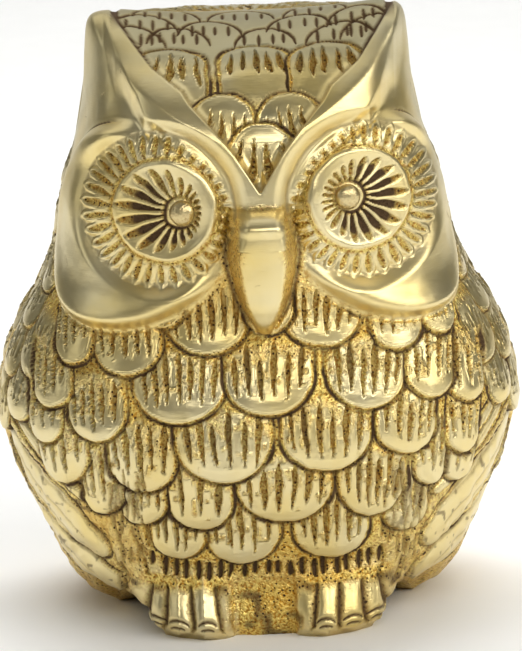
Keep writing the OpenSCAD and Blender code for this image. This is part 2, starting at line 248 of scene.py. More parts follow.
class Chasing:
    """The hand work on one casting: how far each point stands proud of the plain form, how far
    it is punched matt, how far it is darkened, by grime in the cuts and by painted shade along
    outlines, creases and hollows, and how far its shine is taken down, rougher and greyer, the
    grey being painted shade on the top of the head."""

    def __init__(self, shape, seed):
        self.proud = np.zeros(shape)
        self.matt = np.zeros(shape)
        self.soot_and_shade = np.zeros(shape)
        self.dull_and_shade = np.zeros(shape)
        self.random = np.random.default_rng(seed)

    def feather(self, across, along, tip, heading, width, length, cuts, lift=0.9, style="deep",
                point=0):
        """Lays a feather over what is there. Its rounded end is at tip, and it runs back from
        there in the direction heading, in degrees. With point it narrows to its end. Its cuts
        are deep ones with rough floors, or fine lines."""
        near = np.hypot(across - tip[0], along - tip[1]) < length + width
        i = np.nonzero(near)
        a, b = across[i] - tip[0], along[i] - tip[1]
        c, s = math.cos(math.radians(heading)), math.sin(math.radians(heading))
        v = a * c + b * s
        half = width / 2
        w = (a * s - b * c) + 0.12 * patches(a, b, 2.4, int(self.random.integers(999)))
        u = w / (half * (1 - point * (1 - ramp(0, 14, v))))
        bow = 0.85 * min(half, 8)
        q = np.where(v < bow, np.hypot(u, (bow - v) / bow), np.abs(u))
        d = (1 - q) * min(half, bow)
        fade = 1 - ramp(length - 3, length, v)
        inside = fade * (d > 0)
        old = self.proud[i]
        rim = 0.5 if style == "deep" else 0.3
        pillow = np.clip(1 - (d - rim) / 2.4, 0, 1) ** 2
        body = lift - 0.05 * v - 0.3 * u * u - 0.4 * pillow + 0.08 * bell(d - rim - 0.3, 0.3)
        new = -0.5 + (body + 0.5) * ramp(-0.05, rim + 0.25, d)
        matt = 1 - ramp(rim - 0.15, rim + 0.25, d)
        # Painted shadow: a dark line just outside the outline of the feather, under its edge.
        soot_and_shade = bell(d + 0.1, 0.26) * (0.65 + 0.35 * patches(across[i], along[i], 3, 77))
        lean = self.random.uniform(-0.05, 0.05)
        for k in range(cuts):
            place = (-0.74 + 1.48 * (k + 0.5) / cuts) * half + self.random.uniform(-0.15, 0.15)
            low = 2.3 + 1.6 * (place / half) ** 2 + self.random.uniform(-0.3, 1.6)
            high = low + self.random.uniform(6.5, 10.5) * (1 if style == "deep" else 0.8)
            high = min(high, length - 0.5)
            if high < low + 1.5:
                continue
            t = np.clip((v - low) / (high - low), 0, 1)
            fat = (1.05 if style == "deep" else 0.36) * self.random.uniform(0.75, 1.2)
            fat = min(fat, 0.42 * width / cuts) if style == "deep" else fat
            swept = place * (1 + 0.02 * v) + lean * (v - low)
            g = 1 - (np.abs(w - swept) / (fat * 1.06 * t ** 0.6 * (1 - t ** 4) + 1e-3)) ** 2
            g = np.where((t > 0) & (t < 1), g, -1)
            cut = ramp(0, 0.7, g)
            new = new - (0.75 if style == "deep" else 0.25) * cut + 0.15 * ramp(-1.2, -0.1, g) * (1 - cut)
            matt = np.maximum(matt, ramp(-0.1, 0.35, g) * (1 if style == "deep" else 0.5))
            soot_and_shade = np.maximum(soot_and_shade, 0.5 * cut * self.random.uniform(0, 1) ** 2)
        if cuts and style == "deep" and lift > 0.45:
            worn = ramp(-0.15, 0.5, patches(across[i], along[i], 1.1, 78) + 0.16 * (v - 7.5))
            worn = worn * (1 - ramp(13, 16, v))
            matt = np.maximum(matt, 0.85 * worn * (v > 2.5))
            new = new - 0.12 * worn
        beside = ramp(-0.55, 0, d) * (d <= 0) * fade
        self.proud[i] = old * (1 - inside) + new * inside - 0.35 * beside
        self.matt[i] = np.maximum(self.matt[i] * (1 - inside) + matt * inside, 0.8 * beside)
        self.soot_and_shade[i] = np.maximum(self.soot_and_shade[i] * (1 - inside), soot_and_shade * fade * (d > -0.6))

    def stroke(self, across, along, points, width, depth, matt=0.3, soot_and_shade=0.7, taper=True):
        """Cuts a line through points with a pointed graver, and darkens the cut."""
        points = np.array(points, float)
        low, high = points.min(0) - 2, points.max(0) + 2
        i = np.nonzero((across > low[0]) & (across < high[0]) & (along > low[1]) & (along < high[1]))
        a, b = across[i], along[i]
        run = np.append(0, np.cumsum(np.hypot(*np.diff(points, axis=0).T)))
        best = np.full(a.shape, 9.0)
        for k in range(len(points) - 1):
            p, d = points[k], points[k + 1] - points[k]
            t = np.clip(((a - p[0]) * d[0] + (b - p[1]) * d[1]) / (d @ d), 0, 1)
            far = np.hypot(a - p[0] - t * d[0], b - p[1] - t * d[1])
            where = (run[k] + t * (run[k + 1] - run[k])) / run[-1]
            thin = (4 * where * (1 - where)) ** 0.5 + 0.05 if taper else 1
            best = np.minimum(best, far / (width / 2 * thin))
        cut = bell(best, 1)
        self.proud[i] -= depth * cut
        self.matt[i] = np.maximum(self.matt[i], matt * cut)
        self.soot_and_shade[i] = np.maximum(self.soot_and_shade[i], soot_and_shade * cut)


def blurred(field, n):
    """The field averaged over a square of points round each one, n either way, twice."""
    for axis in (0, 1, 0, 1):
        padded = np.concatenate([np.repeat(field.take([0], axis), n + 1, axis), field,
                                 np.repeat(field.take([-1], axis), n, axis)], axis)
        total = np.cumsum(padded, axis)
        size = field.shape[axis]
        after, before = total.take(range(2 * n + 1, 2 * n + 1 + size), axis), total.take(range(size), axis)
        field = (after - before) / (2 * n + 1)
    return field


front_turns = steps((-90, -56, 0.46), (-56, 58, 0.34), (58, 90, 0.46))
front_climbs = np.concatenate([steps((0, 56, 0.3), (56, 84, 0.22)) / SIDE_TOP,
                               1 + steps((0.6, 45, 0.62), (45, 89.6, 0.5)) / 90])
turn, climb = np.meshgrid(front_turns, front_climbs)
x, y, z = skin(turn, climb)
plain_x, plain_y, plain_z = skin(turn, climb, plain=True)
middle = int(np.argmin(np.abs(front_turns)))
run = np.hypot(np.diff(plain_x, axis=1), np.diff(plain_y, axis=1))
girth = np.concatenate([np.zeros((len(front_climbs), 1)), np.cumsum(run, axis=1)], axis=1)
girth = girth - girth[:, [middle]]            # distance round the body from straight ahead
tall = plain_z + np.clip(plain_y + 28, 0, None)   # height, and then on over the crown


def round_to(seen_x, height):
    """Distance round the body to a place seen from the front at seen_x."""
    a = np.linspace(0, 89, 179)
    r = reach(a, np.full_like(a, height))
    px, py = r * np.sin(np.radians(a)), -r * np.cos(np.radians(a))
    s = np.append(0, np.cumsum(np.hypot(np.diff(px), np.diff(py))))
    return math.copysign(float(np.interp(abs(seen_x), px, s)), seen_x)


front = Chasing(x.shape, 7)
wave = 0.35 * patches(girth, plain_z, 9, 1), 0.35 * patches(girth, plain_z, 9, 2)
s_cut = girth + wave[0] + 0.1 * patches(girth, plain_z, 1.5, 3)
z_cut = plain_z + wave[1] + 0.1 * patches(girth, plain_z, 1.5, 4)

# The ground between feathers is punched matt all over the breast.
front.proud[:] = -0.4
front.matt[:] = 1
# Wing blades, the lowest first: tip (round the body, height), width, length, slope of the blade
for way in (-1, 1):
    for tip_s, tip_z, width, length, slope_up in ((27, 7, 9, 42, 20), (29, 13.5, 9, 42, 30),
                                                  (31, 22.5, 3.6, 38, 34), (31.5, 25.5, 3, 36, 36)):
        heading = slope_up if way > 0 else 180 - slope_up
        front.feather(s_cut, z_cut, (way * tip_s, tip_z), heading, width, length, 0, lift=0.8, point=0.5)
        a, b = math.cos(math.radians(slope_up)), math.sin(math.radians(slope_up))
        for k in (-0.32, 0, 0.34) if width > 5 else (0,):
            front.stroke(s_cut, z_cut, [(way * (tip_s + r * a - k * width * b), tip_z + r * b + k * width * a)
                                        for r in np.linspace(6, 34, 12)], 0.8, 0.22, 0.25, 0.22)
# Feathers at the sides, engraved finely
for way in (-1, 1):
    for seen, tip_z, width in ((62, 33, 11), (52, 36, 11), (57, 43, 11), (47, 44, 10), (63, 50, 11),
                               (52, 52, 10), (58, 59, 10), (48, 58, 9), (63, 66, 9),
                               (56, 67, 9), (62, 74, 10), (55, 76, 9)):
        front.feather(s_cut, z_cut, (way * seen, tip_z), 90 + way * 14, width, 13, 7, lift=0.5, style="fine")
# Breast feathers from the lowest up: place seen from the front, height of the tip, width, cuts
for seen, tip_z, width, cuts in sorted((
        (-15, 13.8, 10, 5), (-4, 13, 13.5, 5), (11.2, 13.3, 14, 6),
        (-20.7, 20, 9, 5), (-11, 19.5, 12, 3), (3.4, 20.5, 17, 6), (18.3, 20.5, 13, 6), (28.5, 24.5, 7, 3),
        (34.5, 29, 8, 4), (-37, 33, 9, 3), (-28, 34.5, 12, 5), (-20.5, 26, 13, 5), (-6.6, 28, 17, 6),
        (10.7, 29, 16.5, 6), (24.5, 31, 12, 5),
        (-34, 26.5, 12, 4), (-27.5, 21.5, 8.5, 4), (33.5, 24, 9, 4), (24, 16.5, 9, 4),
        (-36, 39.5, 10, 4), (-13.8, 38, 17, 7), (1.4, 39, 16, 6), (18, 39.5, 15, 6), (29.3, 40, 11, 4),
        (36, 38, 9, 3),
        (-32, 47.5, 9, 4), (-22.5, 46, 13.5, 5), (-8.8, 49.5, 15, 6), (10.7, 50, 14, 6), (23.8, 48.5, 11, 4),
        (31.5, 50, 8, 4), (2, 53, 9, 4), (-16, 54, 8, 5), (-26, 54, 8, 4), (18, 55, 8, 5), (27, 56, 7, 4)),
        key=lambda feather: feather[1]):
    spot = (round_to(seen, tip_z), tip_z)
    # Those towards the sides are seen aslant, so they are wider than they look.
    wide_as = abs(spot[0]) / abs(seen) if abs(seen) > 15 else 1
    front.feather(s_cut, z_cut, spot, 90 - 0.2 * seen, width * wide_as, 14, cuts)
# Cast lumps and loose punched strokes between the wing tips and the breast
for k in range(80):
    way = -1 if k % 2 else 1
    p = (way * front.random.uniform(20, 28), front.random.uniform(5, 27))
    end = p[0] + way * front.random.uniform(-0.6, 1.2), p[1] + front.random.uniform(2.5, 5)
    front.stroke(s_cut, z_cut, [p, end],
                 front.random.uniform(0.6, 1.1), 0.35, 0.8, 0.35)
flank = ramp(20, 25, np.abs(girth)) * (1 - ramp(26, 31, plain_z))
front.proud += flank * (0.3 * patches(girth, plain_z, 3.4, 42) + 0.12 * patches(girth, plain_z, 1.5, 43))
front.matt = front.matt * (1 - 0.3 * flank)
front.soot_and_shade = np.maximum(front.soot_and_shade, 0.4 * flank * ramp(0.55, 0.85, patches(girth, plain_z, 1.1, 44)))
# Row of short punched teeth along the bottom of the breast
for k in range(21):
    p = -20 + 2 * k + front.random.uniform(-0.3, 0.3)
    q = 10.6 + 0.004 * p * p + front.random.uniform(-0.4, 0.4)
    front.stroke(plain_x, plain_z, [(p, q), (p + 0.2, q + 2.6)], 1.1, 0.7, 1, 0.75)

# The face disc is left smooth; under its lip the ground is matt.
q = disc_place(turn, plain_z)
seen = np.abs(x - FACE_X)
brow = ramp(-0.8, 0.2, above(BROW_FOOT, seen, tall)) * (plain_y < 5)
smooth_face = np.maximum(1 - ramp(0.98, 1.04, q), brow)
smooth_face = np.maximum(smooth_face, ramp(76, 84, plain_z - 0.3 * (np.abs(turn) - 75)))
beak_part = (1 - ramp(0.2, 0.9, seen - beak_half(z))) * ramp(52.6, 53.6, z)
beak_part = beak_part * (1 - ramp(74, 76, z)) * (y < -30)
smooth_face = np.maximum(smooth_face, beak_part)
lip = bell(q - 1.04, 0.05) * (plain_z < 68)
front.proud = front.proud * (1 - smooth_face)
front.matt = np.maximum(front.matt * (1 - smooth_face), 0.7 * lip * (q > 0.96))
front.soot_and_shade = front.soot_and_shade * (1 - smooth_face)
# The outer sides of the tufts carry a few long hair lines.
for way in (-1, 1):
    for k in range(6):
        foot_s = way * (52 + 3.1 * k + front.random.uniform(-0.4, 0.4))
        foot_z = 80 + 1.5 * k + front.random.uniform(-1, 1)
        hair = [(foot_s + way * (0.5 * u - 0.02 * u * u), foot_z + u) for u in (0, 3, 6, 9, 12)]
        front.stroke(girth, plain_z, hair, 0.5, 0.16, 0.2, 0.55)
# Small nicks and scratches from years on a shelf
for k in range(16):
    begin = front.random.uniform((-46, 58), (46, 100))
    end = begin + front.random.uniform(-2.2, 2.2, 2)
    front.stroke(girth, plain_z, [begin, end], 0.28, 0.05, 0.1, 0.5 * front.random.uniform(0.3, 1))
# Tufts and brow sides carry one cut line where they meet the disc, darkened with painted shade.
ring = bell(q - 0.985, 0.011) * ramp(60, 70, plain_z) * ramp(25, 30, np.abs(AROUND * turn - FACE_X))
front.proud -= 0.25 * ring
front.soot_and_shade = np.maximum(front.soot_and_shade, 0.75 * ring)

# Eyes: a ring of short lens-shaped cuts like petals, a matt groove, a smooth rim, and longer
# cuts that run in to the pupil, which sits off the middle. Painted shade darkens a ring just
# outside the petals, and painted shadow of the pupil darkens the ring round it and the inner
# cuts on one side.
for n, (eye, pupil) in enumerate(zip(EYES, PUPILS)):
    a, b = x - eye[0], z - eye[1]
    i = np.nonzero((np.hypot(a, b) < 16) & (y < 0))
    a = a[i] + 0.15 * patches(a[i], b[i], 2, 21 + n)
    b = b[i] + 0.15 * patches(a, b[i], 2, 23 + n)
    r, way = np.hypot(a, b), np.arctan2(b, a)
    ox, oz = pupil[0] - eye[0], pupil[1] - eye[1]
    ring_r = np.hypot(a - 0.35 * ox, b - 0.35 * oz)     # the rim inside the petals leans to the pupil
    part = way * PETALS / (2 * math.pi) + 0.18 * np.sin(3 * way + n)
    off = np.abs(part - np.round(part))          # 0 in the middle of a petal, 0.5 between two
    pitch = 2 * math.pi * r / PETALS
    rim = 13.3 - 1.6 * (2 * off) ** 2
    inside = ramp(-0.25, 0.25, rim - r) * (1 - ramp(-0.5, 0.3, above(BROW_FOOT, seen[i], tall[i])))
    proud = 1.15 - 0.012 * r * r * 0.4
    proud = proud - 0.5 * bell(ring_r - 9.0, 0.5) + 0.25 * bell(ring_r - 8.1, 0.5)
    proud = proud - 0.35 * bell((off - 0.5) * pitch, 0.2) * ramp(9.8, 11.5, r)
    t = np.clip((ring_r - 9.35) / (3.3 - r + ring_r), 0, 1)
    g = 1 - (off * pitch / (0.7 * (4 * t * (1 - t)) ** 0.55 + 1e-3)) ** 2
    g = np.where((t > 0) & (t < 1), g, -1)
    cut = ramp(0, 0.8, g)
    matt = np.maximum(cut, bell(ring_r - 9.0, 0.45))
    soot_and_shade = 0.3 * cut * (0.5 + 0.5 * np.sin(5 * way + 2 * n))
    proud = proud - 0.55 * cut
    # inner cuts, along rays from the pupil to the smooth rim
    pa, pb = a - (pupil[0] - eye[0]), b - (pupil[1] - eye[1])
    pr, pway = np.hypot(pa, pb), np.arctan2(pb, pa)
    along = ox * np.cos(pway) + oz * np.sin(pway)
    far = 0.5 + 0.92 * (np.sqrt(np.maximum(along ** 2 + 7.3 ** 2 - ox * ox - oz * oz, 0)) - along)
    t = np.clip((pr - 2.7) / (far - 2.7), 0, 1)
    part = pway * RAYS / (2 * math.pi) + 0.12 * np.sin(2 * pway)
    off = np.abs(part - np.round(part)) * 2 * math.pi * pr / RAYS
    fat = 0.41 * 2 * math.pi * np.maximum(pr, 2.4) / RAYS
    g = 1 - (off / (fat * (4 * t * (1 - t)) ** 0.45 + 1e-3)) ** 2
    g = np.where((t > 0) & (t < 1), g, -1)
    cut = ramp(0, 0.8, g)
    dish = 1 - ramp(5.5, 7.9, ring_r)
    proud = proud - 0.35 * dish - 0.7 * cut - 0.5 * bell(pr - 2.7, 0.55)
    matt = np.maximum(matt, np.maximum(cut, 0.9 * bell(pr - 2.7, 0.6)))
    # Painted shadow of the pupil: the ring round the pupil and the inner cuts near it are darker on one side
    # of each eye.
    dark = ramp(-0.9, 0.8, np.cos(pway + (0.35 if n else 2.6))) * (1 if n else 0.75)
    soot_and_shade = np.maximum(soot_and_shade, cut * dark * (1 - ramp(0.55, 1.0, t)))
    soot_and_shade = np.maximum(soot_and_shade, 0.9 * bell(pr - 2.6, 0.35) * (0.4 + 0.6 * dark))
    front.proud[i] = front.proud[i] * (1 - inside) + proud * inside
    front.matt[i] = np.maximum(front.matt[i] * (1 - inside), matt * inside)
    front.soot_and_shade[i] = np.maximum(front.soot_and_shade[i] * (1 - inside), soot_and_shade * inside)
    # Painted shade in a ring just outside the petals, under their raised edge.
    front.soot_and_shade[i] = np.maximum(front.soot_and_shade[i], 0.35 * bell(r - 13.1, 0.35) * (1 - inside))

# Forehead and crown between the arms of the brow: scallops with their round ends up, each laid
# over the one above it.
edge = above(BROW_TOP, seen, tall)
crown = ramp(0.1, 0.6, edge)
fore = Chasing(x.shape, 11)
low_down = 1 - ramp(97, 103, tall)
fore.proud[:] = -0.35 * low_down
fore.matt[:] = low_down
fore_x = plain_x + 0.2 * patches(plain_x, tall, 2, 31)
fore_t = tall + 0.2 * patches(plain_x, tall, 2, 32)
for rows, at, width, cuts in (
        ((-14.5, 0, 12), 109.5, 13, 5),
        ((-6, 5.6), 94, 11.8, 5), ((0.4,), 88.2, 11.4, 4)):
    for place in rows:
        spot = place + FACE_X, at + fore.random.uniform(-0.8, 0.8)
        fore.feather(fore_x, fore_t, spot, -90, width, 20, cuts, lift=0.4)
high_up = ramp(100, 108, tall)
plain_top = ramp(-1, 2, tall - 112)
fore.matt = fore.matt * (1 - plain_top)
fore.proud = fore.proud * (1 - plain_top)
fore.soot_and_shade = fore.soot_and_shade * (1 - plain_top)
# Further up they are only drawn, an arc and four short strokes each.
for rows, at in (((-15, -2, 11), 131), ((-18.5, -7.5, 8, 18), 124), ((-21, -13, 2, 15, 21), 118.5)):
    for place in rows:
        px, pt = place + FACE_X, at + fore.random.uniform(-1, 1)
        half = fore.random.uniform(5.2, 6.3)
        arc = [(px - half * math.cos(t), pt - 9 * (1 - math.sin(t))) for t in np.linspace(0.05, 3.09, 11)]
        fore.stroke(plain_x, tall, arc, 0.95, 0.35, 0.5, 0.75)
        for k in range(4):
            qx = px + (-0.6 + 0.4 * k) * half + fore.random.uniform(-0.4, 0.4)
            top_t, foot_t = pt - 2.5 - fore.random.uniform(0, 1), pt - 7 - fore.random.uniform(0, 1.5)
            fore.stroke(plain_x, tall, [(qx, top_t), (qx, foot_t)], 0.7, 0.3, 0.3, 0.75)
front.proud = front.proud * (1 - crown) + fore.proud * crown
front.matt = front.matt * (1 - crown) + fore.matt * crown
# The top of the head is marked for a rougher finish and a painted grey shade.
front.dull_and_shade = ramp(100, 106, tall) * np.maximum(crown, 0.45)
# Painted shade along the upper edge of the brow, stronger higher up on the head.
border = 0.85 * bell(edge - 0.2, 0.28) * (0.3 + 0.7 * high_up)
front.soot_and_shade = front.soot_and_shade * (1 - crown) + np.maximum(fore.soot_and_shade * crown, border)
front.proud -= 0.45 * bell(edge - 0.25, 0.32) * (y < 4)
# A groove under the cap of the beak, matt and darkened with painted shade.
groove_under = bell(plain_z - 74.6, 0.5) * bell((x - FACE_X) / 4.6, 1) ** 2
front.matt = np.maximum(front.matt, 0.8 * groove_under)
front.soot_and_shade = np.maximum(front.soot_and_shade, 0.3 * groove_under)
front.proud -= 0.15 * groove_under

# Sides of the beak and the corners beside it keep a satin finish.
beak_side = ramp(0, 0.8, seen - facet_half(z)) * (1 - ramp(0.8, 2.2, seen - beak_half(z)))
beak_side = beak_side * ramp(52, 54, z) * (1 - ramp(72.5, 74.5, z))
front.matt = np.maximum(front.matt, 0.75 * beak_side * (y < -30))
# Painted shade along the edges of the beak where it meets the face.
beak_edge = bell(seen - beak_half(z) - 0.5, 0.5) * ramp(54, 57, z) * (1 - ramp(68, 72, z))
front.soot_and_shade = np.maximum(front.soot_and_shade, 0.5 * beak_edge)

# Feet: three toes each, parted by pointed cuts, with a claw line across each toe.
ragged = 0.8 * patches(plain_x, plain_z, 1.8, 41)
from_foot = np.abs(np.abs(plain_x - FEET_X) - FOOT)
toes_part = (1 - ramp(7.6, 9.8, plain_z + ragged)) * (1 - ramp(8.2, 9.6, from_foot + ragged))
ledge = (1 - ramp(9.4, 11, plain_z + ragged)) * (1 - toes_part) * (np.abs(turn) < 40)
front.proud = front.proud * (1 - toes_part) - 0.15 * toes_part
front.matt = np.maximum(front.matt * (1 - toes_part), 0.85 * ledge)
# Painted shade in ragged patches on the ledge between and beside the feet.
front.soot_and_shade = np.maximum(front.soot_and_shade * (1 - toes_part), 0.5 * ledge * ramp(-0.1, 0.7, ragged))
for way, cuts_at in ((-1, (-22.2, -18.6, -13.4, -7.6)), (1, (7.2, 12.4, 17.4, 21.8))):
    for place in cuts_at:
        lean = (place - way * FOOT) * 0.1
        line = [(place, 0.6), (place + 0.1, 3), (place - lean, 6), (place - 2 * lean, 9.6)]
        front.stroke(plain_x, plain_z, line, 4.4, 0.55, 0.1, 0, taper=False)
        front.stroke(plain_x, plain_z, line, 1.3, 0.8, 1, 0.6)
    for place in (-20.4, -16, -10.6) if way < 0 else (9.8, 14.9, 19.6):
        for size, at in ((2.0, 2.2), (1.4, 1.2)):
            arc = [(place + size * math.cos(t), at + 0.8 * size * math.sin(t))
                   for t in np.linspace(0.3, 2.8, 7)]
            front.stroke(plain_x, plain_z, arc, 0.6, 0.35, 0.3, 0.7)

# The seam was filed level, so the work dies out towards it.
quiet = 1 - ramp(85.5, 89.5, np.abs(turn))
front.proud = front.proud * quiet
sunk = blurred(front.proud, 5) - front.proud
front_sunk = np.clip(sunk / 0.4, 0, 1)
front_edge = np.clip(-sunk / 0.3, 0, 1)
grain = 0.8 * patches(girth, tall, 0.9, 51) + 0.7 * patches(girth, tall, 0.5, 52)
hammered = patches(girth, plain_z, 3.2, 53) + 0.5 * patches(girth, plain_z, 1.6, 54)
front.proud += (-0.15 * front.matt * grain + (0.03 + 0.035 * (1 - smooth_face)) * hammered) * quiet


def displaced(px, py, pz, proud):
    """The grid moved out along its own normals."""
    grid = np.stack([px, py, pz], -1)
    normal = np.cross(np.gradient(grid, axis=1), np.gradient(grid, axis=0))
    normal /= np.maximum(np.linalg.norm(normal, axis=-1, keepdims=True), 1e-9)
    move = normal * proud[..., None]
    move[:, [0, -1], 1] = 0
    move[0, :, 2] = 0
    return grid + move


def stitched(first, second):
    """Triangles between two lines of points that run side by side."""
    faces, i, j = [], 0, 0
    m, n = len(first) - 1, len(second) - 1
    while i < m or j < n:
        if j >= n or (i < m and (i + 1) / m <= (j + 1) / n):
            faces.append((first[i], first[i + 1], second[j]))
            i += 1
        else:
            faces.append((first[i], second[j + 1], second[j]))
            j += 1
    return faces


def half_shell(name, outside, turns, chasing, sunk, edge, to_frame):
    """One casting as a closed mesh: chased outside, plain core face, flat rim and parting."""
    m, n = outside.shape[:2]
    core_turns = np.linspace(turns[0], turns[-1], 49)
    core_climbs = np.concatenate([np.linspace(0, 1, 22), 1 + np.linspace(0.08, 0.97, 12)])
    cx, cy, cz = core(*np.meshgrid(core_turns, core_climbs))
    cm, cn = cx.shape
    inside = np.stack([cx, cy, cz], -1)
    crown_point = outside[-1].mean(0) * [0, 0, 1]
    core_crown = np.array([0, 0, CROWN - WALL - 1.4])
    points = np.concatenate([outside.reshape(-1, 3), [crown_point], inside.reshape(-1, 3), [core_crown]])
    k = np.arange(m * n).reshape(m, n)
    c = m * n + 1 + np.arange(cm * cn).reshape(cm, cn)
    last = len(points) - 1
    quads = np.stack([k[:-1, :-1], k[:-1, 1:], k[1:, 1:], k[1:, :-1]], -1).reshape(-1, 4)
    core_quads = np.stack([c[:-1, :-1], c[1:, :-1], c[1:, 1:], c[:-1, 1:]], -1).reshape(-1, 4)
    rest = [(k[-1, i], k[-1, i + 1], m * n) for i in range(n - 1)]
    rest += [(c[-1, i + 1], c[-1, i], last) for i in range(cn - 1)]
    rest += [f[::-1] for f in stitched(k[0], c[0])]
    rest += stitched(k[:, 0], c[:, 0])
    rest += [f[::-1] for f in stitched(k[:, -1], c[:, -1])]
    rest += [(k[-1, 0], m * n, c[-1, 0]), (m * n, last, c[-1, 0])]
    rest += [(k[-1, -1], c[-1, -1], m * n), (m * n, c[-1, -1], last)]
    faces = [tuple(int(v) for v in f) for f in rest]
    mesh = bpy.data.meshes.new(name)
    mesh.from_pydata(to_frame(points).tolist(), [], quads.tolist() + core_quads.tolist() + faces)
    mesh.polygons.foreach_set("use_smooth", [True] * (len(quads) + len(core_quads)) + [False] * len(faces))
    # Painted shade in the hollows: the further a point lies below the points round it, the darker it is
    # painted, over the grime and painted shade already laid on.
    dirt_and_cavity_shade = np.maximum(chasing.soot_and_shade, sunk * 0.36)
    for label, values, inner in (("matt", chasing.matt, 0.8), ("soot_and_shade", dirt_and_cavity_shade, 0.5),
                                 ("edge", edge, 0.0), ("dull_and_shade", chasing.dull_and_shade, 0.6)):
        layer = mesh.attributes.new(label, "FLOAT", "POINT")
        full = np.full(len(points), inner, np.float32)
        full[:m * n] = np.clip(values, 0, 1).ravel()
        layer.data.foreach_set("value", full)
    mesh.update()
    piece = bpy.data.objects.new(name, mesh)
    bpy.context.collection.objects.link(piece)
    return piece


low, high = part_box("front_casting")
front_points = displaced(x, y, z, front.proud)
front_scale = ((high[0] - low[0]) / np.ptp(x), (high[1] - low[1]) / -y.min(), high[2] / z.max())
front_middle = (low[0] + high[0]) / 2 - front_scale[0] * (x.max() + x.min()) / 2
front_piece = half_shell("chased_front", front_points, front_turns, front, front_sunk, front_edge,
                         lambda p: p * front_scale + [front_middle, high[1], 0])


class Wire:
    """One socket of a material's nodes, so that sums on it read as plain sums."""

    def __init__(self, tree, socket=None):
        self.tree, self.socket = tree, socket

    def node(self, kind, settings=None, inputs=None, out=0):
        made = self.tree.nodes.new(kind)
        for name, value in (settings or {}).items():
            if name == "stops":
                ramp_of = made.color_ramp
                for k, (place, colour) in enumerate(value):
                    stop = ramp_of.elements[k] if k < 2 else ramp_of.elements.new(place)
                    stop.position, stop.color = place, (*colour, 1)
            else:
                setattr(made, name, value)
        for name, value in (inputs or {}).items():
            if isinstance(value, Wire):
                self.tree.links.new(value.socket, made.inputs[name])
            else:
                made.inputs[name].default_value = value
        return Wire(self.tree, made.outputs[out])

    def maths(self, operation, *values):
        return self.node("ShaderNodeMath", {"operation": operation}, dict(enumerate(values)))

    def __add__(self, other):
        return self.maths("ADD", self, other)

    def __sub__(self, other):
        return self.maths("SUBTRACT", self, other)

    def __rsub__(self, other):
        return self.maths("SUBTRACT", other, self)

    def __mul__(self, other):
        return self.maths("MULTIPLY", self, other)

    __radd__, __rmul__ = __add__, __mul__

    def between(self, low, high):
        """0 at low, 1 at high, and held there outside."""
        return self.node("ShaderNodeMapRange", None, {0: self, 1: low, 2: high})

    def blend(self, first, second):
        """first where this is 0, second where it is 1, as colours."""
        return self.node("ShaderNodeMix", {"data_type": "RGBA"}, {0: self, 6: first, 7: second}, 2)


# Finish of the castings: bright brass on the high places, deeper gold in the punched ground
# with painted glints and painted shade in its pits, near black grime and painted shade in the
# cuts, creases and hollows, and a painted grey shade on the top of the head.
def brass(name, bright, warm, deep, shine):
    material = bpy.data.materials.new(name)
    material.use_nodes = True
    tree = material.node_tree
    tree.nodes.clear()
    start = Wire(tree)
    place = start.node("ShaderNodeTexCoord", out=3)
    matt = start.node("ShaderNodeAttribute", {"attribute_name": "matt"}, out=2)
    soot_and_shade = start.node("ShaderNodeAttribute", {"attribute_name": "soot_and_shade"}, out=2)
    edge = start.node("ShaderNodeAttribute", {"attribute_name": "edge"}, out=2)
    dull_and_shade = start.node("ShaderNodeAttribute", {"attribute_name": "dull_and_shade"}, out=2)
    cloud = start.node("ShaderNodeTexNoise", None, {"Vector": place, "Scale": 70.0, "Detail": 4.0})
    speck = start.node("ShaderNodeTexNoise", None, {"Vector": place, "Scale": 2100.0, "Detail": 2.0})
    pits = start.node("ShaderNodeTexVoronoi", None, {"Vector": place, "Scale": 1250.0, "Randomness": 1.0})
    stretched = start.node("ShaderNodeMapping", None, {
        "Vector": place, "Scale": (500.0, 500.0, 4500.0), "Rotation": (0.5, 0.3, 0.4)})
    rubbed = start.node("ShaderNodeTexNoise", None, {"Vector": stretched, "Scale": 1.0, "Detail": 2.0})
    tone = cloud.between(0.35, 0.68)
    polished = tone.blend((*bright, 1), (*warm, 1))
    # The punched ground is speckled from deep amber to pale gold: painted glints on its facets and painted
    # shade in its pits.
    ground = speck.between(0.36, 0.56).blend((deep[0] * 0.66, deep[1] * 0.55, deep[2] * 0.5, 1),
                                            (deep[0] * 1.22, deep[1] * 1.6, deep[2] * 2.8, 1))
    amber = (deep[0] * 0.7, deep[1] * 0.58, deep[2] * 0.3, 1)
    ground = (cloud.between(0.42, 0.66) * 0.55).blend(ground, amber)
    # Painted shade: the top of the head is greyed.
    polished = (dull_and_shade * 0.75).blend(polished, (0.50, 0.46, 0.30, 1))
    colour = (matt * (1.0 - edge * 0.7)).blend(polished, ground)
    pitted = (pits + speck * 0.3).between(0.26, 0.44)
    # Near black brown where the casting is darkened and in the pits of the punched ground: grime and painted
    # shade.
    dirt_and_shade = (soot_and_shade * 1.4 + matt * (1 - pitted) * 1.15 * cloud.between(0.42, 0.58)).between(0.12, 0.85)
    colour = dirt_and_shade.blend(colour, (0.085, 0.045, 0.015, 1))
    rough = (shine + matt * 0.03 + dirt_and_shade * 0.3 + dull_and_shade * 0.12 + rubbed.between(0.3, 0.8) * 0.06
             + tone * 0.04).between(0, 1)
    height = rubbed * 0.05 + matt * (pitted * 0.5 + speck) - dirt_and_shade * 0.2
    bump = start.node("ShaderNodeBump", None, {"Strength": 1.0, "Distance": 0.0004, "Height": height})
    metal = start.node("ShaderNodeBsdfPrincipled", None, {
        "Base Color": colour, "Roughness": rough, "Metallic": 1.0 - dirt_and_shade * 0.55, "Normal": bump})
    tree.nodes.new("ShaderNodeOutputMaterial")
    tree.links.new(metal.socket, tree.nodes["Material Output"].inputs[0])
    return material


